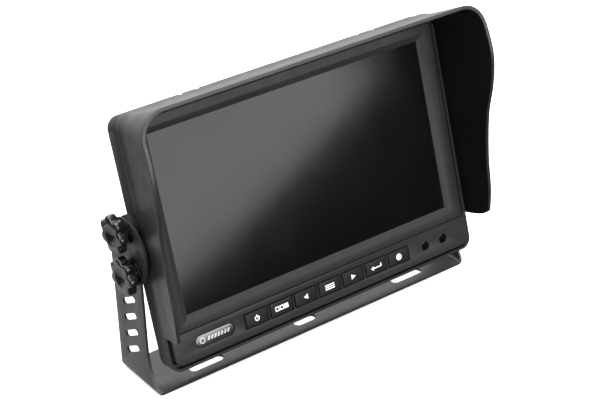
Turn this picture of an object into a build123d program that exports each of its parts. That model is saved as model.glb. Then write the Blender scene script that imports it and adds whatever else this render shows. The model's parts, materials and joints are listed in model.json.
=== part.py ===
"""Dash monitor of a backup camera kit: a 7 inch display in a steel U bracket, with a slide-on sun hood.

Row frame: origin on the bracket's underside at its centre, +X to the viewer's right, +Z up, screen
towards -Y. The monitor is leant back by TILT, so its pieces are drawn on FACE, a plane whose origin is
the screen's centre: its x runs right, its y up the screen, its z out of the screen. All in millimetres.
"""
from build123d import *
from math import cos, radians, sin
import os

os.makedirs("parts", exist_ok=True)

# ---- driving dimensions -------------------------------------------------------------------------
TILT = 15.8                                   # lean of the monitor at rest, degrees
SCREEN_UP, SCREEN_BACK = 82.5, -9.25          # screen centre above and behind the base's centre

WINDOW_W, WINDOW_H = 154.0, 85.8              # visible area of a 7 inch, 1024 x 600 display
WINDOW_BEVEL = 3.2                            # width of the slope round the window
CASE_HALF, CASE_TOP, CASE_BOTTOM = 90.3, 53.6, -68.2   # rear shell's rim
CASE_R = 5.6
CASE_WALL, RIM_WALL = 2.4, 1.25               # the wall, and its thinner front edge
RIM_Z, SEAT_Z = -2.6, -6.0                    # front of the rim, and the step that the front shell sits on
SHOULDER_Z, BACK_Z = -12.6, -26.0             # where the sides turn in, and the back face
SHOULDER_IN, BACK_IN = 0.6, 11.0              # how far the outline has come in at those depths

FRONT_HALF, FRONT_TOP, FRONT_BOTTOM = 88.3, 52.1, -64.7    # front shell, standing proud of the rim
FRONT_R, FRONT_TOP_R = 3.6, 5.6
RECESS_HALF, RECESS_TOP, SEAM_Y = 86.9, 51.2, -50.0
BEZEL_GAP = 0.8                               # groove between the bezel and the front shell
SEAM_GAP = 0.35                               # joint between the bezel and the button panel
PLATE_T = 1.9                                 # thickness of bezel and button panel

BUTTON_W, BUTTON_H, BUTTON_PITCH, BUTTON_Y = 12.6, 6.8, 14.25, -57.0
BUTTON_GAP = 0.45
BUTTON_TRAVEL = 0.7
BUTTON_NAMES = ["power", "mode", "left", "menu", "right", "enter", "record"]
SENSOR_R = 2.4
IR_X, LIGHT_X, SENSOR_Y = 60.0, 71.4, -57.3
BADGE_X, BADGE_Y, BADGE_W, BADGE_H = -66.0, -57.0, 21.6, 6.2

HOOD_T = 1.8
HOOD_HALF, HOOD_TOP, HOOD_END = 90.7, 55.0, -49.3
HOOD_REAR, HOOD_KNEE, HOOD_LIP = -2.5, 3.0, 34.0      # depths of its rear edge, knee and lip
HOOD_FLARE_X, HOOD_FLARE_Y = 0.205, 0.188             # how fast it widens and rises past the knee

SHEET = 1.2                                   # bracket steel
ARM_OUT = 93.5                                # outer face of each arm
ARM_BEND = 3.5
BASE_HALF = 15.95
ARM_FRONT, HEAD_R, HEAD_Z = -8.55, 15.3, 72.3
BASE_SLOT_X, BASE_SLOT_Y, BASE_SLOT_L, BASE_SLOT_W = 61.5, -8.0, 19.0, 5.4

BOLT_Y, BOLT_Z, BOLT_STEP = 2.4, -10.6, 20.0  # upper side bolt on FACE, and the lower one below it
BOLT_R = 2.0
TILT_LOW, TILT_HIGH = -5.0, 30.0
BOSS_IN, BOSS_OUT, BOSS_R = 84.0, 90.8, 6.6
BOSS_INNER_R, INSERT_R = 4.4, 3.0
KNOB_IN, KNOB_COLLAR, KNOB_OUT = 94.7, 96.6, 101.2    # its foot, star and outer face

GLAND_X, GLAND_Y, GLAND_BORE = -28.0, -42.0, 3.2

# ---- frames -------------------------------------------------------------------------------------
FACE = Plane(origin=(0, SCREEN_BACK, SCREEN_UP), x_dir=(1, 0, 0),
             z_dir=(0, -cos(radians(TILT)), sin(radians(TILT))))


def depth(z):
    """Sketch plane parallel to the screen, z in front of its bezel."""
    return FACE.offset(z)


def side(x):
    """Sketch plane across the monitor at x: its x is FACE's z, its y is FACE's y, and it faces -X."""
    return Plane(origin=FACE.origin + Vector(x, 0, 0), x_dir=FACE.z_dir, z_dir=(-1, 0, 0))


def save(builder, name):
    """Label a finished piece and write it to its own STEP file."""
    builder.part.label = name
    export_step(builder.part, f"parts/{name}.step")


def block(low, high, mode=Mode.ADD):
    """Box on FACE between two corners (x, y, z)."""
    with BuildSketch(depth(high[2])) as profile:
        with Locations(((low[0] + high[0]) / 2, (low[1] + high[1]) / 2)):
            Rectangle(high[0] - low[0], high[1] - low[1])
    extrude(profile.sketch, amount=low[2] - high[2], mode=mode)


def rod(x, y, low, high, radius, mode=Mode.ADD):
    """Cylinder along FACE's z between two depths."""
    with BuildSketch(depth(high)) as profile:
        with Locations((x, y)):
            Circle(radius)
    extrude(profile.sketch, amount=low - high, mode=mode)


def cross_rod(y, z, inner, outer, radius, mode=Mode.ADD):
    """Cylinder along X on the left side, from x = -inner out to x = -outer."""
    with BuildSketch(side(-inner)) as profile:
        with Locations((z, y)):
            Circle(radius)
    extrude(profile.sketch, amount=outer - inner, mode=mode)


def outline(half, top, bottom, radius):
    """Rounded rectangle of a section through the case."""
    with Locations((0, (top + bottom) / 2)):
        RectangleRounded(2 * half, top - bottom, radius)


BOLTS = [BOLT_Y, BOLT_Y - BOLT_STEP]          # heights of the side bolts on FACE


# ---- bracket ------------------------------------------------------------------------------------
def bolt_in_row(y):
    """A side bolt's place in the row's Y and Z."""
    place = FACE.from_local_coords(Vector(0, y, BOLT_Z))
    return place.Y, place.Z


PIVOT = bolt_in_row(BOLT_Y)

with BuildPart() as bracket:
    with BuildSketch(Plane.XZ.offset(-BASE_HALF)) as channel:
        arm_top = HEAD_Z + HEAD_R + 1
        with Locations((0, arm_top / 2)):
            Rectangle(2 * ARM_OUT, arm_top)
        fillet(channel.vertices().group_by(Axis.Y)[0], radius=ARM_BEND)
        with BuildSketch(Plane.XZ.offset(-BASE_HALF), mode=Mode.PRIVATE) as inside:
            with Locations((0, arm_top / 2 + SHEET)):
                Rectangle(2 * (ARM_OUT - SHEET), arm_top)
            fillet(inside.vertices().group_by(Axis.Y)[0], radius=ARM_BEND - SHEET)
        add(inside.sketch, mode=Mode.SUBTRACT)
    extrude(amount=2 * BASE_HALF)
    with BuildSketch(Plane.YZ.offset(-ARM_OUT)) as arm:
        with BuildLine():
            Polyline((ARM_FRONT, HEAD_Z), (BASE_HALF, HEAD_Z), (BASE_HALF, 0), (-BASE_HALF, 0),
                     (-BASE_HALF, SHEET))
            TangentArc((ARM_FRONT, 24), (-BASE_HALF, SHEET), tangent=(0, -1))
            Line((ARM_FRONT, 24), (ARM_FRONT, HEAD_Z))
        make_face()
        with Locations((BASE_HALF - HEAD_R, HEAD_Z)):
            Circle(HEAD_R)
        neck = arm.vertices().filter_by_position(Axis.X, ARM_FRONT - 0.1, ARM_FRONT + 0.1)
        fillet(neck.filter_by_position(Axis.Y, 50, HEAD_Z), radius=5)
    extrude(amount=2 * ARM_OUT, mode=Mode.INTERSECT)
    with BuildSketch(Plane.YZ.offset(-ARM_OUT - 1)):
        with Locations(PIVOT):
            Circle(BOLT_R + 0.25)
        with BuildLine():
            travel = CenterArc(PIVOT, BOLT_STEP, -90 - TILT_HIGH, TILT_HIGH - TILT_LOW)
        SlotArc(travel, 2 * BOLT_R + 0.5)
        with Locations([(3.95, 43.5 - 9 * i) for i in range(4)]):
            SlotOverall(12.4, 3.1, rotation=-30)
    extrude(amount=2 * ARM_OUT + 2, mode=Mode.SUBTRACT)
    with BuildSketch(Plane.XY.offset(-1)):
        with Locations((-BASE_SLOT_X, BASE_SLOT_Y), (BASE_SLOT_X, BASE_SLOT_Y)):
            SlotOverall(BASE_SLOT_L, BASE_SLOT_W)
        with Locations((-3.3, BASE_SLOT_Y)):
            SlotOverall(12.6, BASE_SLOT_W)
    extrude(amount=4, mode=Mode.SUBTRACT)
save(bracket, "bracket")

# ---- rear shell ---------------------------------------------------------------------------------
SHELL_LEVELS = [(RIM_Z, 0.0, CASE_R), (SHOULDER_Z, SHOULDER_IN, CASE_R),
                (SHOULDER_Z - 1.6, SHOULDER_IN + 1.0, CASE_R), (BACK_Z, BACK_IN, CASE_R)]
BOARD_POSTS = [(-55, 30), (55, 30), (-55, -28), (55, -28)]
CASE_SCREWS = [(-74, 39), (74, 39), (-74, -40), (74, -40)]
STANDOFF_Z = -20.2
INNER_BACK = BACK_Z + CASE_WALL
SPEAKER_X, SPEAKER_Y, SPEAKER_R = 30.0, -38.0, 12.0

with BuildPart() as rear_shell:
    for z, inset, radius in SHELL_LEVELS:
        with BuildSketch(depth(z)):
            outline(CASE_HALF - inset, CASE_TOP - inset, CASE_BOTTOM + inset, radius)
    loft(ruled=True)
    for z, inset, radius in SHELL_LEVELS:
        rise = CASE_WALL if z == BACK_Z else 0.0
        back = CASE_WALL + inset
        with BuildSketch(depth(z + rise)):
            outline(CASE_HALF - back, CASE_TOP - back, CASE_BOTTOM + back, radius - CASE_WALL)
    loft(ruled=True, mode=Mode.SUBTRACT)
    with BuildSketch(depth(RIM_Z)):           # thinner edge round the front shell
        outline(CASE_HALF - RIM_WALL, CASE_TOP - RIM_WALL, CASE_BOTTOM + RIM_WALL, CASE_R - RIM_WALL)
    extrude(amount=SEAT_Z - RIM_Z, mode=Mode.SUBTRACT)
    for y in BOLTS:
        cross_rod(y, BOLT_Z, CASE_HALF - RIM_WALL, BOSS_OUT, BOSS_R)
        cross_rod(y, BOLT_Z, BOSS_IN, BOSS_OUT, BOSS_INNER_R)
        cross_rod(y, BOLT_Z, BOSS_IN, BOSS_OUT, INSERT_R + 0.05, mode=Mode.SUBTRACT)
    with BuildSketch(side(0)):
        Rectangle(200, 200)
    extrude(amount=-100, mode=Mode.SUBTRACT)
    mirror(about=Plane.YZ)
    for x, y in BOARD_POSTS:
        rod(x, y, INNER_BACK - 0.5, -15.6, 3.0)
        rod(x, y, -21.0, -15.6, 1.25, mode=Mode.SUBTRACT)
    for x, y in CASE_SCREWS:
        rod(x, y, INNER_BACK - 0.5, STANDOFF_Z, 4.2)
        rod(x, y, BACK_Z - 1, BACK_Z + 2.0, 3.0, mode=Mode.SUBTRACT)
        rod(x, y, BACK_Z, STANDOFF_Z, 1.7, mode=Mode.SUBTRACT)
    with BuildSketch(depth(BACK_Z - 1)):                        # slots over the top rear edge
        with Locations([(x, 47) for x in (-50.2, -41.2, 51.3, 60.5)]):
            SlotOverall(14, 2.6, rotation=90)
    extrude(amount=18, mode=Mode.SUBTRACT)
    with BuildSketch(depth(BACK_Z - 1)):
        with GridLocations(9.2, 0, 7, 1):                       # air slots under the top edge
            with Locations((0, 30)):
                SlotOverall(14, 2.6, rotation=90)
        with Locations((SPEAKER_X, SPEAKER_Y)):
            with GridLocations(0, 4.4, 1, 5):
                SlotOverall(16, 1.8)
        with Locations((GLAND_X, GLAND_Y)):
            Circle(6.0)
    extrude(amount=8, mode=Mode.SUBTRACT)
    with BuildSketch(side(-60)):
        with Locations((-13.2, 22.5)):                          # mouth of the memory card slot
            Rectangle(2.4, 13)
    extrude(amount=-160, mode=Mode.SUBTRACT)
save(rear_shell, "rear_shell")

# ---- front shell --------------------------------------------------------------------------------
LEDGE = 3.4                                   # how far the ledge reaches in under the bezel
SKIRT_HALF, SKIRT_TOP, SKIRT_BOTTOM, SKIRT_BACK = 86.8, 50.3, -64.2, -9.0
TRAY_SCREWS = [(-60, -49.9), (60, -49.9)]

with BuildPart() as front_shell:
    with BuildSketch(depth(SEAT_Z)):
        outline(FRONT_HALF, FRONT_TOP, SEAM_Y, FRONT_TOP_R)
        outline(FRONT_HALF, 0, FRONT_BOTTOM, FRONT_R)
    extrude(amount=-SEAT_Z)
    with BuildSketch(depth(SEAT_Z)):
        outline(SKIRT_HALF, SKIRT_TOP, SKIRT_BOTTOM, 3.5)
        with Locations((0, (SKIRT_TOP + SKIRT_BOTTOM) / 2)):
            RectangleRounded(2 * SKIRT_HALF - 3, SKIRT_TOP - SKIRT_BOTTOM - 3, 2.0, mode=Mode.SUBTRACT)
    extrude(amount=SKIRT_BACK - SEAT_Z)
    for hand in (-1, 1):                      # gaps in the skirt for the bolt bosses
        block((hand * 86.5 - 2.5, BOLTS[1] - 7, SKIRT_BACK), (hand * 86.5 + 2.5, BOLTS[0] + 7, SEAT_Z),
              mode=Mode.SUBTRACT)
    with BuildSketch(depth(0)):               # seats of the bezel and the button panel
        outline(RECESS_HALF, RECESS_TOP, SEAM_Y, 2.0)
        with Locations((0, SEAM_Y)):
            Rectangle(2 * FRONT_HALF + 2, 30, align=(Align.CENTER, Align.MAX))
    extrude(amount=-PLATE_T, mode=Mode.SUBTRACT)
    with BuildSketch(depth(0)):               # openings either side of the tie under the seam
        outline(RECESS_HALF - LEDGE, RECESS_TOP - LEDGE, SEAM_Y + 2.4, 0.8)
        outline(RECESS_HALF - LEDGE, SEAM_Y - 2.4, FRONT_BOTTOM + 2.6, 2.0)
    extrude(amount=-7, mode=Mode.SUBTRACT)
    for x, y in TRAY_SCREWS:
        block((x - 2.2, y - 2.2, -7.0), (x + 2.2, y + 2.2, -PLATE_T - 0.1))
        rod(x, y, -7.5, -3.5, 1.0, mode=Mode.SUBTRACT)
    for hand in (-1, 1):                      # grooves that the hood's ribs ride in
        block((hand * 88.5 - 0.9, SEAM_Y - 0.8, -2.6), (hand * 88.5 + 0.9, 60, -0.8), mode=Mode.SUBTRACT)
save(front_shell, "front_shell")

# ---- bezel, button panel and badge --------------------------------------------------------------
with BuildPart() as screen_bezel:
    with BuildSketch(depth(0)):
        outline(RECESS_HALF - BEZEL_GAP, RECESS_TOP - BEZEL_GAP, SEAM_Y + SEAM_GAP / 2, 1.4)
    extrude(amount=-PLATE_T)
    with BuildSketch(depth(0)):
        Rectangle(WINDOW_W + 2 * WINDOW_BEVEL, WINDOW_H + 2 * WINDOW_BEVEL)
    with BuildSketch(depth(-PLATE_T)):
        Rectangle(WINDOW_W, WINDOW_H)
    loft(mode=Mode.SUBTRACT)
save(screen_bezel, "screen_bezel")

BUTTON_XS = [BUTTON_PITCH * (i - 3) for i in range(7)]

with BuildPart() as button_panel:
    with BuildSketch(depth(0)):
        outline(FRONT_HALF, SEAM_Y - SEAM_GAP / 2, FRONT_BOTTOM, FRONT_R)
        with Locations((0, SEAM_Y - SEAM_GAP / 2)):
            Rectangle(2 * FRONT_HALF, FRONT_R, align=(Align.CENTER, Align.MAX))
        with Locations([(x, BUTTON_Y) for x in BUTTON_XS]):
            Rectangle(BUTTON_W + 2 * BUTTON_GAP, BUTTON_H + 2 * BUTTON_GAP, mode=Mode.SUBTRACT)
        with Locations((IR_X, SENSOR_Y), (LIGHT_X, SENSOR_Y)):
            Circle(SENSOR_R, mode=Mode.SUBTRACT)
    extrude(amount=-PLATE_T)
    with BuildSketch(depth(0)):
        with Locations((BADGE_X, BADGE_Y)):
            SlotOverall(BADGE_W, BADGE_H)
    extrude(amount=-0.8, mode=Mode.SUBTRACT)
save(button_panel, "button_panel")

with BuildPart() as badge_plate:
    with BuildSketch(depth(-0.8)):
        with Locations((BADGE_X, BADGE_Y)):
            SlotOverall(BADGE_W - 0.8, BADGE_H - 0.8)
    extrude(amount=0.5)
save(badge_plate, "badge_plate")

for name, x in (("ir_window", IR_X), ("light_sensor_lens", LIGHT_X)):
    with BuildPart() as lens:
        rod(x, SENSOR_Y, -PLATE_T, -0.4, SENSOR_R - 0.05)
        rod(x, SENSOR_Y, -PLATE_T - 0.6, -PLATE_T, SENSOR_R + 1.0)
    save(lens, name)

for name, x in zip(BUTTON_NAMES, BUTTON_XS):
    with BuildPart() as button:
        block((x - BUTTON_W / 2, BUTTON_Y - BUTTON_H / 2, -2.2),
              (x + BUTTON_W / 2, BUTTON_Y + BUTTON_H / 2, 0.35))
        front = button.faces().sort_by(Axis.Y)[0]
        chamfer(front.edges(), length=0.3)
        block((x - 6.9, BUTTON_Y - 4.3, -3.0), (x + 6.9, BUTTON_Y + 4.3, -2.2))
        rod(x, BUTTON_Y, -4.7, -3.0, 1.5)
    save(button, "button_" + name)

# ---- display ------------------------------------------------------------------------------------
GLASS_BACK, MODULE_BACK, TRAY_BACK = -2.9, -7.0, -7.6

with BuildPart() as lcd_glass:
    block((-79, -45, GLASS_BACK), (79, 45, -PLATE_T))
save(lcd_glass, "lcd_glass")

with BuildPart() as lcd_module:
    block((-82.2, -46.6, MODULE_BACK), (82.2, 46.8, GLASS_BACK))
save(lcd_module, "lcd_module")

with BuildPart() as lcd_tray:
    with BuildSketch(depth(TRAY_BACK)):
        with Locations((0, 0.1)):
            Rectangle(166, 94.6)
        with Locations([(x, y + 1.3) for x, y in TRAY_SCREWS]):
            Rectangle(8, 8)
        with Locations(TRAY_SCREWS):
            Circle(1.4, mode=Mode.SUBTRACT)
    extrude(amount=MODULE_BACK - TRAY_BACK)
    with BuildSketch(depth(MODULE_BACK)):
        with Locations((0, 0.1)):
            Rectangle(166, 94.6)
            Rectangle(165, 93.8, mode=Mode.SUBTRACT)
    extrude(amount=2.6)
save(lcd_tray, "lcd_tray")

with BuildPart() as tray_screws:
    for x, y in TRAY_SCREWS:
        rod(x, y, TRAY_BACK - 1.2, TRAY_BACK, 2.2)
        rod(x, y, TRAY_BACK, -4.0, 0.95)
save(tray_screws, "tray_screws")

with BuildPart() as tray_standoffs:
    with BuildSketch(depth(TRAY_BACK)):
        with Locations(CASE_SCREWS):
            RegularPolygon(3.4, 6)
            Circle(1.5, mode=Mode.SUBTRACT)
    extrude(amount=STANDOFF_Z - TRAY_BACK)
save(tray_standoffs, "tray_standoffs")

with BuildPart() as case_screws:
    for x, y in CASE_SCREWS:
        rod(x, y, BACK_Z + 0.2, BACK_Z + 2.0, 2.8)
        rod(x, y, BACK_Z + 2.0, -12.0, 1.45)
    with BuildSketch(depth(BACK_Z)):
        with Locations(CASE_SCREWS):
            Rectangle(3.2, 0.7)
            Rectangle(0.7, 3.2)
    extrude(amount=1.2, mode=Mode.SUBTRACT)
save(case_screws, "case_screws")

# ---- electronics --------------------------------------------------------------------------------
BOARD_Z, BOARD_T = -14.0, 1.6
BOARD_BACK = BOARD_Z - BOARD_T

with BuildPart() as main_board:
    with BuildSketch(depth(BOARD_BACK)):
        with Locations((0, 1)):
            Rectangle(130, 70)
        with Locations((70, 22.5)):
            Rectangle(28, 19)
        with Locations(BOARD_POSTS):
            Circle(1.5, mode=Mode.SUBTRACT)
    extrude(amount=BOARD_T)
    for x, y, w, h, tall in ((-10, 8, 16, 16, 1.6), (18, 16, 12, 9, 1.4), (-35, -8, 14, 10, 2.6),
                             (34, -6, 9, 9, 4.0), (10, -18, 20, 5, 3.2)):
        block((x - w / 2, y - h / 2, BOARD_BACK - tall), (x + w / 2, y + h / 2, BOARD_BACK))
    for x, y in ((-48, 10), (-48, -2), (44, 12)):
        rod(x, y, BOARD_BACK - 6.0, BOARD_BACK, 3.1)
save(main_board, "main_board")

with BuildPart() as board_screws:
    for x, y in BOARD_POSTS:
        rod(x, y, BOARD_Z, BOARD_Z + 1.8, 2.6)
        rod(x, y, -20.0, BOARD_Z, 1.2)
save(board_screws, "board_screws")

with BuildPart() as card_socket:
    block((69, 14.5, BOARD_Z), (84, 30.5, BOARD_Z + 2.0))
    block((71, 16.5, BOARD_Z + 0.3), (84.5, 28.5, BOARD_Z + 1.5), mode=Mode.SUBTRACT)
save(card_socket, "card_socket")

KEY_BOARD_Z, KEY_BOARD_BACK = -7.2, -8.4

with BuildPart() as keypad_board:
    block((-50, -62.2, KEY_BOARD_BACK), (76, -52.9, KEY_BOARD_Z))
    for x in (IR_X, LIGHT_X):                 # receiver bodies behind the two lenses
        block((x - 2.5, SENSOR_Y - 2.5, KEY_BOARD_Z), (x + 2.5, SENSOR_Y + 2.5, -PLATE_T - 1.1))
save(keypad_board, "keypad_board")

with BuildPart() as tact_switches:
    for x in BUTTON_XS:
        block((x - 3, BUTTON_Y - 3, KEY_BOARD_Z), (x + 3, BUTTON_Y + 3, -4.0))
        rod(x, BUTTON_Y, -6.0, -4.0, 1.9, mode=Mode.SUBTRACT)
save(tact_switches, "tact_switches")


def ribbon(points, x, width):
    """Flat flexible cable, bent along points (z, y), width wide and centred at x."""
    with BuildSketch(side(x + width / 2)) as strip:
        with BuildLine(mode=Mode.PRIVATE) as path:
            FilletPolyline(*points, radius=1.2)
        trace(path.line, line_width=0.3)
    extrude(strip.sketch, amount=width)


with BuildPart() as display_ribbon:
    ribbon([(-7.85, 4), (-7.85, -26), (-13.8, -26), (-13.8, -20)], 12, 30)
save(display_ribbon, "display_ribbon")

with BuildPart() as keypad_ribbon:
    ribbon([(-8.6, -60), (-8.6, -50), (-11.0, -46), (-11.0, -24), (-13.8, -24), (-13.8, -20)], -30, 12)
save(keypad_ribbon, "keypad_ribbon")

with BuildPart() as speaker:
    rod(SPEAKER_X, SPEAKER_Y, INNER_BACK, -20.6, SPEAKER_R)
    rod(SPEAKER_X, SPEAKER_Y, -20.6, -18.6, 6.0)
    rod(SPEAKER_X, SPEAKER_Y, INNER_BACK - 1, INNER_BACK + 1.2, SPEAKER_R - 2, mode=Mode.SUBTRACT)
save(speaker, "speaker")

with BuildPart() as lead_grommet:
    rod(GLAND_X, GLAND_Y, BACK_Z, INNER_BACK, 5.95)
    rod(GLAND_X, GLAND_Y, BACK_Z - 1.6, BACK_Z, 8.0)
    rod(GLAND_X, GLAND_Y, INNER_BACK, INNER_BACK + 1.4, 7.4)
    rod(GLAND_X, GLAND_Y, BACK_Z - 2, INNER_BACK + 2, GLAND_BORE, mode=Mode.SUBTRACT)
save(lead_grommet, "lead_grommet")

# ---- side bolts, on the left side and mirrored to the right -------------------------------------
with BuildPart() as side_inserts:
    for y in BOLTS:
        cross_rod(y, BOLT_Z, BOSS_IN, BOSS_OUT - 0.1, INSERT_R)
        cross_rod(y, BOLT_Z, BOSS_IN, BOSS_OUT, BOLT_R + 0.05, mode=Mode.SUBTRACT)
    mirror(about=Plane.YZ)
save(side_inserts, "side_inserts")

with BuildPart() as friction_washers:
    for y in BOLTS:
        cross_rod(y, BOLT_Z, BOSS_OUT, 92.2, BOSS_R)
        cross_rod(y, BOLT_Z, BOSS_OUT, 92.2, BOLT_R + 0.2, mode=Mode.SUBTRACT)
    mirror(about=Plane.YZ)
save(friction_washers, "friction_washers")

with BuildPart() as knob_washers:
    for y in BOLTS:
        cross_rod(y, BOLT_Z, ARM_OUT + 0.1, KNOB_IN - 0.1, 6.5)
        cross_rod(y, BOLT_Z, ARM_OUT + 0.1, KNOB_IN - 0.1, BOLT_R + 0.2, mode=Mode.SUBTRACT)
    mirror(about=Plane.YZ)
save(knob_washers, "knob_washers")

KNOB_LOBES, LOBE_R, LOBE_AT, HUB_R, COLLAR_R = 7, 2.5, 6.7, 7.0, 5.6
DISH_R, DISH_DEEP = 4.2, 1.1

for level, y in zip(("upper", "lower"), BOLTS):
    with BuildPart() as knob:
        with BuildSketch(side(-KNOB_COLLAR)):
            with Locations((BOLT_Z, y)):
                Circle(HUB_R)
                with PolarLocations(LOBE_AT, KNOB_LOBES):
                    Circle(LOBE_R)
        extrude(amount=KNOB_OUT - KNOB_COLLAR)
        rim = knob.faces().sort_by(Axis.X)[0]
        chamfer(rim.edges(), length=0.7)
        cross_rod(y, BOLT_Z, KNOB_IN, KNOB_COLLAR, COLLAR_R)
        cross_rod(y, BOLT_Z, KNOB_OUT - DISH_DEEP, KNOB_OUT, DISH_R, mode=Mode.SUBTRACT)
        cross_rod(y, BOLT_Z, KNOB_IN, KNOB_IN + 4.0, BOLT_R, mode=Mode.SUBTRACT)
    with BuildPart() as stud:
        cross_rod(y, BOLT_Z, BOSS_IN, KNOB_IN + 4.0, BOLT_R)
    save(knob, f"knob_{level}_left")
    save(stud, f"knob_stud_{level}_left")
    with BuildPart() as right_knob:
        mirror(knob.part, about=Plane.YZ)
    with BuildPart() as right_stud:
        mirror(stud.part, about=Plane.YZ)
    save(right_knob, f"knob_{level}_right")
    save(right_stud, f"knob_stud_{level}_right")

# ---- sun hood -----------------------------------------------------------------------------------
with BuildPart() as sun_hood:
    for inset in (0.0, HOOD_T):
        for z, radius in ((HOOD_REAR, 7.0), (HOOD_KNEE, 7.0), (HOOD_LIP, 14.0)):
            flare = max(z - HOOD_KNEE, 0)
            with BuildSketch(depth(z)):
                outline(HOOD_HALF + HOOD_FLARE_X * flare - inset,
                        HOOD_TOP + HOOD_FLARE_Y * flare - inset, -90, radius - inset)
        loft(ruled=True, mode=Mode.SUBTRACT if inset else Mode.ADD)
    with BuildSketch(side(120)):              # what is left of it, seen from the side
        with BuildLine():
            lip = Spline((8.2, HOOD_END), (14.6, -46.0), (16.9, -36), (19.0, -18), (23.6, 4), (28.4, 17),
                         (31.4, 29), (31.8, 38), (30.2, 50))
            Polyline(lip @ 1, (30.2, 70), (HOOD_REAR - 1, 70), (HOOD_REAR - 1, HOOD_END), lip @ 0)
        make_face()
    extrude(amount=240, mode=Mode.INTERSECT)
    for hand in (-1, 1):                      # ribs that ride in the front shell's grooves
        block((hand * 88.6 - 0.8, -48, -2.3), (hand * 88.6 + 0.8, 40, -1.1))
save(sun_hood, "sun_hood")
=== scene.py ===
"""Looks of the dash monitor: moulded case, slide-on hood, powder-coated U bracket and star knobs.

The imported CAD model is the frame. Each visible CAD node is stood for by a rounded copy of itself or
by a piece built here, in metres, in the row's frame; the hidden ones only get materials. FACE below
is the screen's own frame: x right along the screen, y up it and z out of it, with its origin at the
screen's centre on the bezel's front. Sizes and places on FACE are in millimetres.
"""
import json
import math

import bmesh
import bpy
from mathutils import Matrix, Quaternion, Vector


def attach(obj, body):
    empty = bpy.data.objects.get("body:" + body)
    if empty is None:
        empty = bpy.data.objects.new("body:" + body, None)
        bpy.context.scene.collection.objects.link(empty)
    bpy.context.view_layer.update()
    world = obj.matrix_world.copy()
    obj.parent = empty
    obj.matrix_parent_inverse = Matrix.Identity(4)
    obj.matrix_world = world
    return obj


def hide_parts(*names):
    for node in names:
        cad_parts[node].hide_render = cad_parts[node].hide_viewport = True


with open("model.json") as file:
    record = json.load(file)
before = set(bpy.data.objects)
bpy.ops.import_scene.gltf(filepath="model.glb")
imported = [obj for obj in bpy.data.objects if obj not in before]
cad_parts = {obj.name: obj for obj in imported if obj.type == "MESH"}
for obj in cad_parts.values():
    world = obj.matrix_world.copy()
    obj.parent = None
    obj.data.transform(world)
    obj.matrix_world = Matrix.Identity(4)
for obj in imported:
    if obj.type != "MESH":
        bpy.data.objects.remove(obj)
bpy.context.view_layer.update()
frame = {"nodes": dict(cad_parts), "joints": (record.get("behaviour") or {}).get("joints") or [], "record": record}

MM = 0.001

# ---- places, read from the frame ----------------------------------------------------------------
JOINTS = {joint["name"]: joint for joint in frame["joints"]}
UP = Vector(JOINTS["hood_slide"]["axis"]).normalized()
RIGHT = Vector((1, 0, 0))
OUT = RIGHT.cross(UP)


def face_origin():
    """Screen centre on the bezel's front plane, worked out from the glass and the bezel."""
    glass = [Vector(v.co) for v in frame["nodes"]["lcd_glass"].data.vertices]
    bezel = [Vector(v.co) for v in frame["nodes"]["screen_bezel"].data.vertices]
    heights = [v.dot(UP) for v in glass]
    return UP * (min(heights) + max(heights)) / 2 + OUT * max(v.dot(OUT) for v in bezel)


ORIGIN = face_origin()
FACE = Matrix.Translation(ORIGIN) @ Matrix((RIGHT, UP, OUT)).transposed().to_4x4()


def on_face(x, y, z):
    """A point given in millimetres on FACE, in the row's frame."""
    return FACE @ Vector((x * MM, y * MM, z * MM))


def face_box(node):
    """Lowest and highest corners of a CAD node measured on FACE, in millimetres."""
    back = FACE.inverted()
    points = [back @ v.co / MM for v in frame["nodes"][node].data.vertices]
    return tuple([pick(p[i] for p in points) for i in range(3)] for pick in (min, max))


# ---- material building blocks -------------------------------------------------------------------
MAP_SOCKETS = ("From Min", "From Max", "To Min", "To Max")
NOISE_SPAN = (0.3, 0.7)                       # where most values of a noise texture lie


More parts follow.
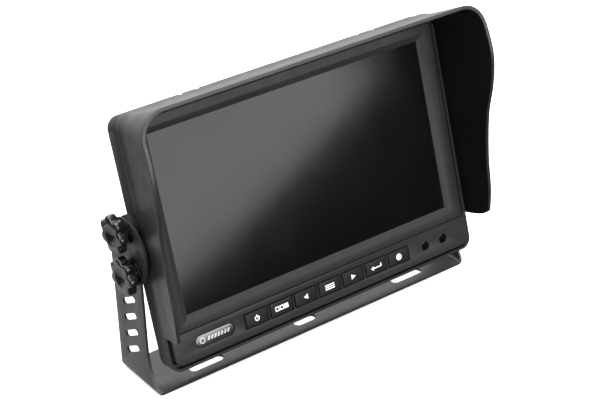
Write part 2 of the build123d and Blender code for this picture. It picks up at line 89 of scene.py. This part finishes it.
class Recipe:
    """One node material: a Principled shader with textured colour, roughness and bump."""

    def __init__(self, name, metallic=0.0, **sockets):
        self.material = bpy.data.materials.new(name)
        self.material.use_nodes = True
        self.nodes = self.material.node_tree.nodes
        self.links = self.material.node_tree.links
        self.shader = self.nodes["Principled BSDF"]
        self.shader.inputs["Metallic"].default_value = metallic
        for socket, value in sockets.items():
            self.shader.inputs[socket.replace("_", " ")].default_value = value
        self.where = self.nodes.new("ShaderNodeTexCoord").outputs["Object"]
        self.normal = None

    def add(self, kind, **inputs):
        """A new shader node with some of its inputs set."""
        node = self.nodes.new("ShaderNode" + kind)
        for socket, value in inputs.items():
            node.inputs[socket.replace("_", " ")].default_value = value
        return node

    def stretch(self, scale):
        """Object coordinates scaled apart along the three axes."""
        node = self.add("Mapping", Scale=scale)
        self.links.new(self.where, node.inputs["Vector"])
        return node.outputs["Vector"]

    def noise(self, scale, detail, stretch=None):
        """Noise with its scale in waves per metre."""
        node = self.add("TexNoise", Scale=scale, Detail=detail, Roughness=0.55)
        self.links.new(self.stretch(stretch) if stretch else self.where, node.inputs["Vector"])
        return node.outputs["Fac"]

    def colour(self, value, dark, light, span=NOISE_SPAN):
        """Base colour running from dark to light as the value crosses the span."""
        node = self.nodes.new("ShaderNodeValToRGB")
        for element, place, tint in zip(node.color_ramp.elements, span, (dark, light)):
            element.position = place
            element.color = (*tint, 1.0)
        self.links.new(value, node.inputs["Fac"])
        self.links.new(node.outputs["Color"], self.shader.inputs["Base Color"])

    def rough(self, value, low, high):
        """Roughness running from low to high as the value crosses the usual span of a noise."""
        node = self.nodes.new("ShaderNodeMapRange")
        for socket, number in zip(MAP_SOCKETS, (*NOISE_SPAN, low, high)):
            node.inputs[socket].default_value = number
        self.links.new(value, node.inputs["Value"])
        self.links.new(node.outputs["Result"], self.shader.inputs["Roughness"])

    def bump(self, value, depth, strength=1.0):
        """Relief of a depth in millimetres, over whatever relief is there already."""
        node = self.add("Bump", Strength=strength, Distance=depth * MM)
        self.links.new(value, node.inputs["Height"])
        if self.normal:
            self.links.new(self.normal, node.inputs["Normal"])
        self.normal = node.outputs["Normal"]
        self.links.new(self.normal, self.shader.inputs["Normal"])


def grey(level, warm=0.0):
    """A grey of one level, made slightly warm."""
    return (level * (1 + warm), level, level * (1 + warm * 0.6))


def moulded(name, level, rough, grain_mm=0.35, depth=0.02, warm=0.03, **sockets):
    """Moulded plastic: spark-eroded grain, slight cloudiness and faint handling marks."""
    recipe = Recipe(name, **sockets)
    cloud = recipe.noise(28.0, 4.0)
    grain = recipe.noise(1000.0 / grain_mm, 2.0)
    recipe.colour(cloud, grey(level * 0.88, warm), grey(level * 1.12, warm))
    recipe.rough(recipe.noise(160.0, 5.0), rough - 0.05, rough + 0.06)
    recipe.bump(grain, depth)
    recipe.bump(recipe.noise(60.0, 2.0), 0.008, 0.3)
    return recipe.material


def powder_coat(name, level, rough):
    """Powder coat on steel: soft orange peel with a fine satin tooth."""
    recipe = Recipe(name, Coat_Weight=0.12, Coat_Roughness=0.3)
    recipe.colour(recipe.noise(40.0, 4.0), grey(level * 0.9, 0.03), grey(level * 1.1, 0.03))
    recipe.rough(recipe.noise(220.0, 4.0), rough - 0.05, rough + 0.07)
    recipe.bump(recipe.noise(1400.0, 3.0), 0.03)
    recipe.bump(recipe.noise(5200.0, 2.0), 0.01)
    return recipe.material


def metal(name, colour, rough, stretch=(1, 1, 1)):
    """Plain metal with fine lines along whichever axis stretch scales down."""
    recipe = Recipe(name, metallic=1.0)
    lines = recipe.noise(900.0, 4.0, stretch)
    recipe.colour(lines, [c * 0.86 for c in colour], colour)
    recipe.rough(recipe.noise(120.0, 4.0), rough - 0.06, rough + 0.08)
    recipe.bump(lines, 0.006)
    return recipe.material


def screen_glass():
    """Hard-coated display glass: near black, satin, with a trace of cloud in the coating."""
    recipe = Recipe("screen_glass_coated", IOR=1.45)
    recipe.colour(recipe.noise(9.0, 2.0), (0.0018, 0.0018, 0.002), (0.003, 0.003, 0.0032))
    recipe.rough(recipe.noise(35.0, 3.0), 0.2, 0.26)
    recipe.bump(recipe.noise(7000.0, 2.0), 0.002, 0.5)
    return recipe.material


def lens():
    """Polished dark red plastic that only infrared light gets through."""
    recipe = Recipe("dark_polished_lens", IOR=1.49)
    recipe.colour(recipe.noise(300.0, 2.0), (0.002, 0.0012, 0.0016), (0.004, 0.0022, 0.003))
    recipe.rough(recipe.noise(400.0, 2.0), 0.08, 0.16)
    return recipe.material


def board():
    """Solder mask with fine copper traces showing through it."""
    recipe = Recipe("green_solder_mask")
    traces = recipe.add("TexVoronoi", Scale=700.0)
    recipe.links.new(recipe.where, traces.inputs["Vector"])
    recipe.colour(traces.outputs["Distance"], (0.006, 0.05, 0.018), (0.014, 0.1, 0.035),
                  (0.35, 0.5))
    recipe.rough(recipe.noise(300.0, 3.0), 0.3, 0.42)
    recipe.bump(traces.outputs["Distance"], 0.02)
    return recipe.material


def film():
    """Amber film with the conductors showing as bands."""
    recipe = Recipe("amber_film")
    bands = recipe.add("TexWave", Scale=160.0)
    recipe.links.new(recipe.where, bands.inputs["Vector"])
    recipe.colour(bands.outputs["Fac"], (0.35, 0.17, 0.04), (0.55, 0.3, 0.09), (0.4, 0.6))
    recipe.rough(recipe.noise(200.0, 3.0), 0.25, 0.35)
    return recipe.material


MATERIALS = {                                 # mostly a name, a level or colour, and a roughness
    "bracket_steel": powder_coat("satin_powder_coat", 0.02, 0.42),
    "case_plastic": moulded("case_black_abs", 0.016, 0.46, Specular_IOR_Level=0.25),
    "hood_plastic": moulded("hood_black_abs", 0.012, 0.36, grain_mm=0.3, depth=0.012),
    # the hood's inner faces: a real duller finish, and a colour a third as bright as the outside, which is painted
    # shade for the hood's shaded inside
    "hood_inside": moulded("hood_dull_inside_painted_shade", 0.004, 0.6, Specular_IOR_Level=0.05),
    "button_plastic": moulded("key_black_abs", 0.008, 0.46, grain_mm=0.25, Specular_IOR_Level=0.2),
    "screen_glass": screen_glass(),
    "dark_lens": lens(),
    "badge_metal": metal("brushed_badge", (0.9, 0.9, 0.92), 0.42, (0.02, 1, 1)),
    "badge_base": metal("dark_badge_base", (0.19, 0.19, 0.195), 0.35, (0.02, 1, 1)),
    "display_body": moulded("display_body_black", 0.012, 0.6),
    "plated_steel": metal("zinc_plate", (0.6, 0.6, 0.58), 0.32),
    "black_screw": metal("black_oxide", (0.05, 0.05, 0.052), 0.4),
    "board_resin": board(),
    "switch_plastic": moulded("switch_black", 0.02, 0.5),
    "ribbon_film": film(),
    "brass_insert": metal("turned_brass", (0.8, 0.58, 0.26), 0.28, (1, 0.05, 0.05)),
    "rubber_parts": moulded("black_rubber", 0.014, 0.7, grain_mm=0.5),
    "knob_plastic": moulded("knob_gloss", 0.006, 0.23, grain_mm=0.8, depth=0.002,
                            Specular_IOR_Level=0.9),
    "legend_ink": moulded("white_key_ink", 0.86, 0.5, grain_mm=0.15, depth=0.004, warm=0.0),
}
SLOT_OF = {sub["node"]: sub["material_slot"] for sub in frame["record"]["subparts"]}


# ---- mesh building blocks -----------------------------------------------------------------------
def piece(name, mesh, body, slot, material=None, replaces=()):
    """Put a finished mesh in the scene as a piece that rides on a body."""
    thing = bpy.data.objects.new(name, mesh)
    bpy.context.scene.collection.objects.link(thing)
    mesh.materials.clear()
    mesh.materials.append(MATERIALS[material or slot])
    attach(thing, body)
    if replaces:
        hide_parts(*replaces)


def shade(mesh, angle=32):
    """Smooth shading, kept sharp at edges that turn by more than an angle in degrees."""
    mesh.shade_smooth()
    mesh.set_sharp_from_angle(angle=math.radians(angle))


def apply_bevel(mesh, width, segments, angle=30):
    """Round a mesh's sharp edges with the bevel modifier and return the result as a new mesh."""
    helper = bpy.data.objects.new("helper", mesh)
    bpy.context.scene.collection.objects.link(helper)
    bevel = helper.modifiers.new("bevel", "BEVEL")
    bevel.width = width * MM
    bevel.segments = segments
    bevel.limit_method = "ANGLE"
    bevel.angle_limit = math.radians(angle)
    bevel.miter_outer = "MITER_ARC"
    normals = helper.modifiers.new("normals", "WEIGHTED_NORMAL")
    normals.keep_sharp = True
    depsgraph = bpy.context.evaluated_depsgraph_get()
    result = bpy.data.meshes.new_from_object(helper.evaluated_get(depsgraph), depsgraph=depsgraph)
    bpy.data.objects.remove(helper)
    return result


def body_of(node):
    """The moving body that a CAD node belongs to."""
    for body, members in frame["record"]["behaviour"]["bodies"].items():
        if node in members:
            return body


WELD_M, FLAT_DEG = 1e-6, 0.6                  # nearer points are one, and flatter faces are one


def rounded(node, width, segments, material=None):
    """A copy of a CAD node with its flat facets merged and its sharp edges rounded."""
    mesh = frame["nodes"][node].data.copy()
    work = bmesh.new()
    work.from_mesh(mesh)
    bmesh.ops.remove_doubles(work, verts=work.verts, dist=WELD_M)
    bmesh.ops.dissolve_limit(work, angle_limit=math.radians(FLAT_DEG), verts=work.verts,
                             edges=work.edges, use_dissolve_boundaries=False)
    bmesh.ops.recalc_face_normals(work, faces=work.faces)
    work.to_mesh(mesh)
    work.free()
    shade(mesh)
    mesh = apply_bevel(mesh, width, segments)
    shade(mesh, angle=40)
    piece(node + "_shape", mesh, body_of(node), SLOT_OF[node], material, [node])


# ---- sun hood -----------------------------------------------------------------------------------
HOOD_T, HOOD_HALF, HOOD_TOP, HOOD_END = 1.8, 90.7, 55.0, -49.3
HOOD_REAR, HOOD_KNEE, HOOD_LIP = -2.5, 3.0, 34.0      # depths of its rear edge, knee and lip
HOOD_FLARE_X, HOOD_FLARE_Y = 0.205, 0.188     # how fast it widens and rises past the knee
HOOD_R_REAR, HOOD_R_LIP = 7.0, 14.0           # corner radii at the rear and at the lip
KNEE_SOFT = 2.0                               # how far the knee's bend is spread
HOOD_ROUNDING = 0.45                          # radius on its edges
LIP_FOOT, LIP_HEEL = 8.2, 3.3                 # depth where the lip starts, and its corner's height
LIP = [(-46, 14.6), (-36, 16.9), (-18, 19.0), (4, 23.6), (17, 28.4),
       (29, 31.4), (38, 31.8), (50, 30.4), (62, 30.2), (70, 30.2)]     # its heights and depths
LIP_GUESS, LIP_ROUNDS = 25.0, 12              # first guess at a lip depth, and rounds to settle it
DEPTH_STEPS, CORNER_STEPS, TOP_STEPS = 16, 12, 10
# Shares of the wall's height, close together at its foot, where the lip's corner turns fast.
WALL_AT = ([0, 0.001, 0.004, 0.009, 0.016, 0.025, 0.034, 0.043]
           + [0.06 + 0.94 * i / 26 for i in range(26)])
RIB_AT, RIB_SIZE = (88.7, -4, -1.7), (1.6, 88, 1.2)


def lip_slope(j):
    """Slope of the lip at one of its points, from the points on either side."""
    before, after = LIP[max(j - 1, 0)], LIP[min(j + 1, len(LIP) - 1)]
    return (after[1] - before[1]) / (after[0] - before[0])


def lip_depth(height):
    """Depth of the hood's front edge at a height on FACE, by a smooth curve through LIP."""
    if height < LIP[0][0]:
        rise = min(1.0, (LIP[0][0] - height) / LIP_HEEL)
        return LIP_FOOT + (LIP[0][1] - LIP_FOOT) * math.sqrt(1 - rise * rise)
    last = len(LIP) - 2
    i = next((i for i in range(last) if height <= LIP[i + 1][0]), last)
    (low, start), (high, end) = LIP[i], LIP[i + 1]
    span = high - low
    t = min(1.0, (height - low) / span)
    return (start * (2 * t ** 3 - 3 * t ** 2 + 1)
            + lip_slope(i) * span * (t ** 3 - 2 * t ** 2 + t)
            + end * (3 * t ** 2 - 2 * t ** 3)
            + lip_slope(i + 1) * span * (t ** 3 - t ** 2))


def hood_point(leg, share, z, inset):
    """x and y on the hood's section at depth z: a share of its left wall, corner or half top."""
    past = z - HOOD_KNEE
    flare = (past + math.sqrt(past * past + KNEE_SOFT * KNEE_SOFT)) / 2
    half = HOOD_HALF + HOOD_FLARE_X * flare - inset
    top = HOOD_TOP + HOOD_FLARE_Y * flare - inset
    radius = HOOD_R_REAR + (HOOD_R_LIP - HOOD_R_REAR) * flare / (HOOD_LIP - HOOD_KNEE) - inset
    if leg == "wall":
        return -half, HOOD_END + share * (top - radius - HOOD_END)
    if leg == "corner":
        turn = share * math.pi / 2
        return -(half - radius) - radius * math.cos(turn), top - radius + radius * math.sin(turn)
    return -(half - radius) * (1 - share), top


def sun_hood():
    """Thin hood: a smooth flared shell with a curved lip, and a rib inside each side wall."""
    stations = [("wall", share) for share in WALL_AT]
    stations += [("corner", i / CORNER_STEPS) for i in range(CORNER_STEPS)]
    stations += [("top", i / TOP_STEPS) for i in range(TOP_STEPS + 1)]
    work = bmesh.new()
    sheets = []
    for inset in (0.0, HOOD_T):
        columns = []
        for leg, share in stations:
            edge = LIP_GUESS
            for _ in range(LIP_ROUNDS):
                edge = lip_depth(hood_point(leg, share, edge, 0.0)[1])
            depths = [HOOD_REAR + (edge - HOOD_REAR) * i / DEPTH_STEPS
                      for i in range(DEPTH_STEPS + 1)]
            columns.append([(*hood_point(leg, share, z, inset), z) for z in depths])
        columns += [[(-x, y, z) for x, y, z in column] for column in reversed(columns[:-1])]
        sheets.append([[work.verts.new(on_face(*p)) for p in column] for column in columns])
    outer, inner = sheets
    last = len(outer) - 1
    for i in range(last):
        for j in range(DEPTH_STEPS):
            work.faces.new((outer[i][j], outer[i][j + 1], outer[i + 1][j + 1], outer[i + 1][j]))
            # inner faces take hood_inside, whose darker colour is painted shade
            dull_shaded_inner = (inner[i][j], inner[i + 1][j], inner[i + 1][j + 1], inner[i][j + 1])
            work.faces.new(dull_shaded_inner).material_index = 1
        for j in (0, DEPTH_STEPS):
            rim = (outer[i][j], outer[i + 1][j], inner[i + 1][j], inner[i][j])
            work.faces.new(rim if j == 0 else rim[::-1])
    for i in (0, last):
        for j in range(DEPTH_STEPS):
            end = (outer[i][j], inner[i][j], inner[i][j + 1], outer[i][j + 1])
            work.faces.new(end if i == 0 else end[::-1])
    bmesh.ops.recalc_face_normals(work, faces=work.faces)
    for hand in (-1, 1):
        rib = bmesh.ops.create_cube(work, size=1.0)
        for corner in rib["verts"]:
            x, y, z = (along * size for along, size in zip(corner.co, RIB_SIZE))
            corner.co = on_face(hand * RIB_AT[0] + x, RIB_AT[1] + y, RIB_AT[2] + z)
    mesh = bpy.data.meshes.new("sun_hood_shape")
    work.to_mesh(mesh)
    work.free()
    for look in ("hood_plastic", "hood_inside"):
        mesh.materials.append(MATERIALS[look])
    shade(mesh, angle=50)
    mesh = apply_bevel(mesh, HOOD_ROUNDING, segments=3, angle=60)
    shade(mesh, angle=60)
    marks = [face.material_index for face in mesh.polygons]    # piece() sets them all to the first
    piece("sun_hood_shape", mesh, "sun_hood", "hood_plastic", replaces=["sun_hood"])
    mesh.materials.append(MATERIALS["hood_inside"])
    mesh.polygons.foreach_set("material_index", marks)


# ---- star knobs ---------------------------------------------------------------------------------
KNOB_FOOT, LOBES = 94.7, 7                    # x of its foot, and how many lobes it has
STEPS_PER_LOBE = 14
# The knob's outline from foot to dish: height, radius, and the share of a lobe that stands on it.
KNOB_PROFILE = [(0.0, 5.2, 0), (0.15, 5.6, 0), (1.5, 5.6, 0), (1.9, 7.0, 0.75), (2.2, 7.2, 0.95),
                (2.7, 7.3, 1), (5.5, 7.3, 1), (6.0, 7.15, 0.97), (6.32, 6.85, 0.92),
                (6.5, 6.4, 0.85), (6.5, 5.3, 0.15), (6.5, 4.85, 0), (6.42, 4.65, 0),
                (6.05, 4.2, 0), (5.45, 3.4, 0), (4.95, 2.4, 0), (4.68, 1.4, 0), (4.6, 0.5, 0)]
LOBE_RISE = 1.95                              # how far a lobe stands out from the hub
LOBE_BLUNT = 0.75                             # under 1, a lobe is blunter than a cosine


def star_knob(name):
    """Hand knob with rounded lobes and a dished face, round its joint's axis."""
    joint = JOINTS[name + "_turn"]
    hand = math.copysign(1, joint["axis"][0])
    middle = FACE.inverted() @ Vector(joint["pos_m"]) / MM
    steps = LOBES * STEPS_PER_LOBE
    work = bmesh.new()
    rings = []
    for height, radius, share in KNOB_PROFILE:
        x = hand * (KNOB_FOOT + height)
        loop = []
        for i in range(steps):
            turn = 2 * math.pi * i / steps
            lobe = (0.5 + 0.5 * math.cos(LOBES * turn)) ** LOBE_BLUNT
            reach = radius + LOBE_RISE * share * lobe
            y, z = middle.y + reach * math.cos(turn), middle.z + reach * math.sin(turn)
            loop.append(work.verts.new(on_face(x, y, z)))
        rings.append(loop)
    for low, high in zip(rings, rings[1:]):
        for i in range(steps):
            j = (i + 1) % steps
            work.faces.new((low[i], low[j], high[j], high[i]))
    work.faces.new(rings[0])
    work.faces.new(rings[-1])
    bmesh.ops.recalc_face_normals(work, faces=work.faces)
    mesh = bpy.data.meshes.new(name + "_shape")
    work.to_mesh(mesh)
    work.free()
    shade(mesh, angle=62)
    piece(name + "_shape", mesh, name, "knob_plastic", replaces=[name])


# ---- printed symbols and badge motif ------------------------------------------------------------
ARC_STEPS = 28


def arc(x, y, outer, inner, start, end):
    """Closed outline of part of a ring, from start to end in degrees."""
    turns = [math.radians(start + (end - start) * i / ARC_STEPS) for i in range(ARC_STEPS + 1)]
    return ([(x + outer * math.cos(t), y + outer * math.sin(t)) for t in turns]
            + [(x + inner * math.cos(t), y + inner * math.sin(t)) for t in reversed(turns)])


def ring(x, y, outer, inner):
    """A whole ring, as two halves."""
    return [arc(x, y, outer, inner, 0, 180), arc(x, y, outer, inner, 180, 360)]


def bar(x, y, width, height):
    """Outline of a rectangle about its middle."""
    return [(x - width / 2, y - height / 2), (x + width / 2, y - height / 2),
            (x + width / 2, y + height / 2), (x - width / 2, y + height / 2)]


def disc(x, y, radius):
    """Outline of a full circle."""
    turns = [2 * math.pi * i / ARC_STEPS for i in range(ARC_STEPS)]
    return [(x + radius * math.cos(t), y + radius * math.sin(t)) for t in turns]


def frame_of(x, y, size, line):
    """The four sides of a square."""
    far = (size - line) / 2
    return [bar(x, y + far, size, line), bar(x, y - far, size, line),
            bar(x - far, y, line, size - 2 * line), bar(x + far, y, line, size - 2 * line)]


SYMBOLS = {
    "power": [arc(0, -0.15, 1.35, 0.9, 125, 415), bar(0, 0.75, 0.45, 1.7)],
    "mode": frame_of(-2.6, 0, 2.2, 0.4) + frame_of(0, 0, 2.2, 0.4) + [bar(2.6, 0, 2.2, 2.2)],
    "left": [[(-1.4, 0), (1.1, -1.3), (1.1, 1.3)]],
    "menu": [bar(0, 1.0, 5.4, 0.5), bar(0, 0, 5.4, 0.5), bar(0, -1.0, 5.4, 0.5)],
    "right": [[(1.4, 0), (-1.1, 1.3), (-1.1, -1.3)]],
    "enter": [bar(0.5, -0.4, 5.2, 0.5), bar(2.85, 0.45, 0.5, 1.2),
              [(-3.4, -0.4), (-1.7, -1.5), (-1.7, 0.7)]],
    "record": ring(0, 0, 1.6, 1.15) + [disc(0, 0, 0.75)],
}
MOTIF = (ring(-6.9, 0, 1.5, 1.0)
         + [[(x, -0.9), (x + 1.0, -0.9), (x + 1.8, 0.9), (x + 0.8, 0.9)]
            for x in (-4.3, -2.5, -0.7, 1.1, 2.9, 4.7, 6.5)])
SUNK, INK_THICK, MOTIF_THICK = 0.01, 0.05, 0.12        # how deep they start, and how thick they are


def printed(name, shapes, node, thick, body, slot, material):
    """Raised shapes given round the middle of a CAD node, standing on its front."""
    low, high = face_box(node)
    middle = ((low[0] + high[0]) / 2, (low[1] + high[1]) / 2)
    base = high[2] - SUNK
    work = bmesh.new()
    for shape in shapes:
        area = sum(a[0] * b[1] - b[0] * a[1] for a, b in zip(shape, shape[1:] + shape[:1]))
        loop = shape if area > 0 else shape[::-1]
        under, top = ([work.verts.new(on_face(middle[0] + x, middle[1] + y, z)) for x, y in loop]
                      for z in (base, base + thick))
        work.faces.new(top)
        work.faces.new(under[::-1])
        for i in range(len(loop)):
            j = (i + 1) % len(loop)
            work.faces.new((under[i], under[j], top[j], top[i]))
    mesh = bpy.data.meshes.new(name)
    work.to_mesh(mesh)
    work.free()
    piece(name, mesh, body, slot, material)


# ---- camera and studio --------------------------------------------------------------------------
CAMERA_AT = (-0.40389, -0.56313, 0.45831)
CAMERA_TURN = (60.363, 1.551, -36.666)        # degrees about X, Y and Z
LENS_MM, SENSOR_MM, NEAREST_M = 100.0, 36.0, 0.01
WHITE = (1, 1, 1, 1)
BACKDROP_WAY = (0.43, 0.73, 0.53)             # towards its bright side
BACKDROP_FADE = (0.0, 0.98, 0.01, 1.4)        # cosines to that way, and the strengths there
LAMPS = [                                     # name, place, aim, size, power, roll in degrees
    ("overhead", (0.0, 0.15, 1.5), (0, 0, 0.05), (2.2, 2.2), 50.0, 0.0),
    ("screen_sheen", (0.17, -0.62, 0.348), (0.17, 0, 0.328), (0.96, 0.6), 7.2, 17.0),
    ("left_glint", (-0.8, -0.25, 0.42), (-0.1, 0, 0.08), (0.14, 0.14), 1.2, 0.0),
]


def sheet(name, across, along, height, glow, albedo):
    """A level sheet of matt paper that glows as well, from x and y ranges in metres."""
    (left, right), (front, back) = across, along
    mesh = bpy.data.meshes.new(name)
    mesh.from_pydata([(left, front, height), (right, front, height), (right, back, height),
                      (left, back, height)], [], [(0, 1, 2, 3)])
    thing = bpy.data.objects.new(name, mesh)
    bpy.context.scene.collection.objects.link(thing)
    paper = Recipe(name, Specular_IOR_Level=0.0, Emission_Color=WHITE, Emission_Strength=glow)
    paper.colour(paper.noise(3.0, 2.0), grey(albedo[0]), grey(albedo[1]))
    paper.rough(paper.noise(5.0, 2.0), 0.8, 0.9)
    mesh.materials.append(paper.material)
    return thing


def studio():
    """Camera, backdrop, floor, the floor's near part that only reflections see, and lamps."""
    scene = bpy.context.scene
    camera = bpy.data.objects.new("camera", bpy.data.cameras.new("camera"))
    camera.location = CAMERA_AT
    camera.rotation_euler = [math.radians(a) for a in CAMERA_TURN]
    camera.data.lens = LENS_MM
    camera.data.sensor_width = SENSOR_MM
    camera.data.clip_start = NEAREST_M
    scene.collection.objects.link(camera)
    scene.camera = camera

    scene.view_settings.view_transform = "Standard"
    scene.world = surround()

    floor = sheet("floor", (-4, 4), (-4, 4), 0.0, 0.5, (0.88, 0.9))
    floor.visible_glossy = False              # glossy surfaces see the backdrop and near_floor
    near = sheet("near_floor", (-0.3, -0.092), (-0.02, 0.13), 0.001, 0.8, (0.0, 0.0))
    near.visible_camera = near.visible_diffuse = near.visible_shadow = False

    for name, place, target, size, power, roll in LAMPS:
        lamp = bpy.data.lights.new(name, "AREA")
        lamp.shape = "RECTANGLE"
        lamp.size, lamp.size_y = size
        lamp.energy = power
        holder = bpy.data.objects.new(name, lamp)
        holder.location = place
        aim = (Vector(target) - Vector(place)).to_track_quat("-Z", "Y")
        holder.rotation_euler = (aim @ Quaternion((0, 0, 1), math.radians(roll))).to_euler()
        scene.collection.objects.link(holder)


def surround():
    """Bright behind, above and to the right of the object, and dim in front and to its left."""
    world = bpy.data.worlds.new("studio")
    world.use_nodes = True
    nodes, links = world.node_tree.nodes, world.node_tree.links
    aim = nodes.new("ShaderNodeVectorMath")
    aim.operation = "DOT_PRODUCT"
    aim.inputs[1].default_value = BACKDROP_WAY
    links.new(nodes.new("ShaderNodeTexCoord").outputs["Generated"], aim.inputs[0])
    fade = nodes.new("ShaderNodeMapRange")
    fade.interpolation_type = "SMOOTHSTEP"
    for socket, number in zip(MAP_SOCKETS, BACKDROP_FADE):
        fade.inputs[socket].default_value = number
    links.new(aim.outputs["Value"], fade.inputs["Value"])
    links.new(fade.outputs["Result"], nodes["Background"].inputs["Strength"])
    nodes["Background"].inputs["Color"].default_value = WHITE
    return world


studio()

# ---- pieces that keep their CAD shape, with rounded edges ---------------------------------------
ROUNDED = {                                   # radius in millimetres, and segments
    "bracket": (0.28, 3), "rear_shell": (0.5, 3), "front_shell": (0.25, 2),
    "screen_bezel": (0.2, 2), "button_panel": (0.15, 2), "lcd_glass": (0.15, 2),
    "ir_window": (0.3, 3), "light_sensor_lens": (0.3, 3), "badge_plate": (0.12, 2),
    "lead_grommet": (0.5, 3), "friction_washers": (0.3, 2), "knob_washers": (0.2, 2),
    "case_screws": (0.15, 2), "card_socket": (0.1, 1)}
ROUNDED.update((node, (0.18, 2)) for node in frame["nodes"]
               if node.startswith("button_") and node != "button_panel")
for node, (width, segments) in ROUNDED.items():
    rounded(node, width, segments, material="badge_base" if node == "badge_plate" else None)

# ---- pieces built here --------------------------------------------------------------------------
sun_hood()
BUILT = {"sun_hood"}
for knob in [name.removesuffix("_turn") for name in JOINTS if name.startswith("knob_")]:
    star_knob(knob)
    BUILT.add(knob)
for key, shapes in SYMBOLS.items():
    button = "button_" + key
    printed("symbol_" + key, shapes, button, INK_THICK, button, "button_plastic", "legend_ink")
printed("badge_motif", MOTIF, "badge_plate", MOTIF_THICK, "monitor", "badge_metal", "badge_metal")

# ---- the other CAD nodes get their materials ----------------------------------------------------
for node, thing in frame["nodes"].items():
    if node not in ROUNDED and node not in BUILT:
        thing.data.materials.clear()
        thing.data.materials.append(MATERIALS[SLOT_OF[node]])
        shade(thing.data)
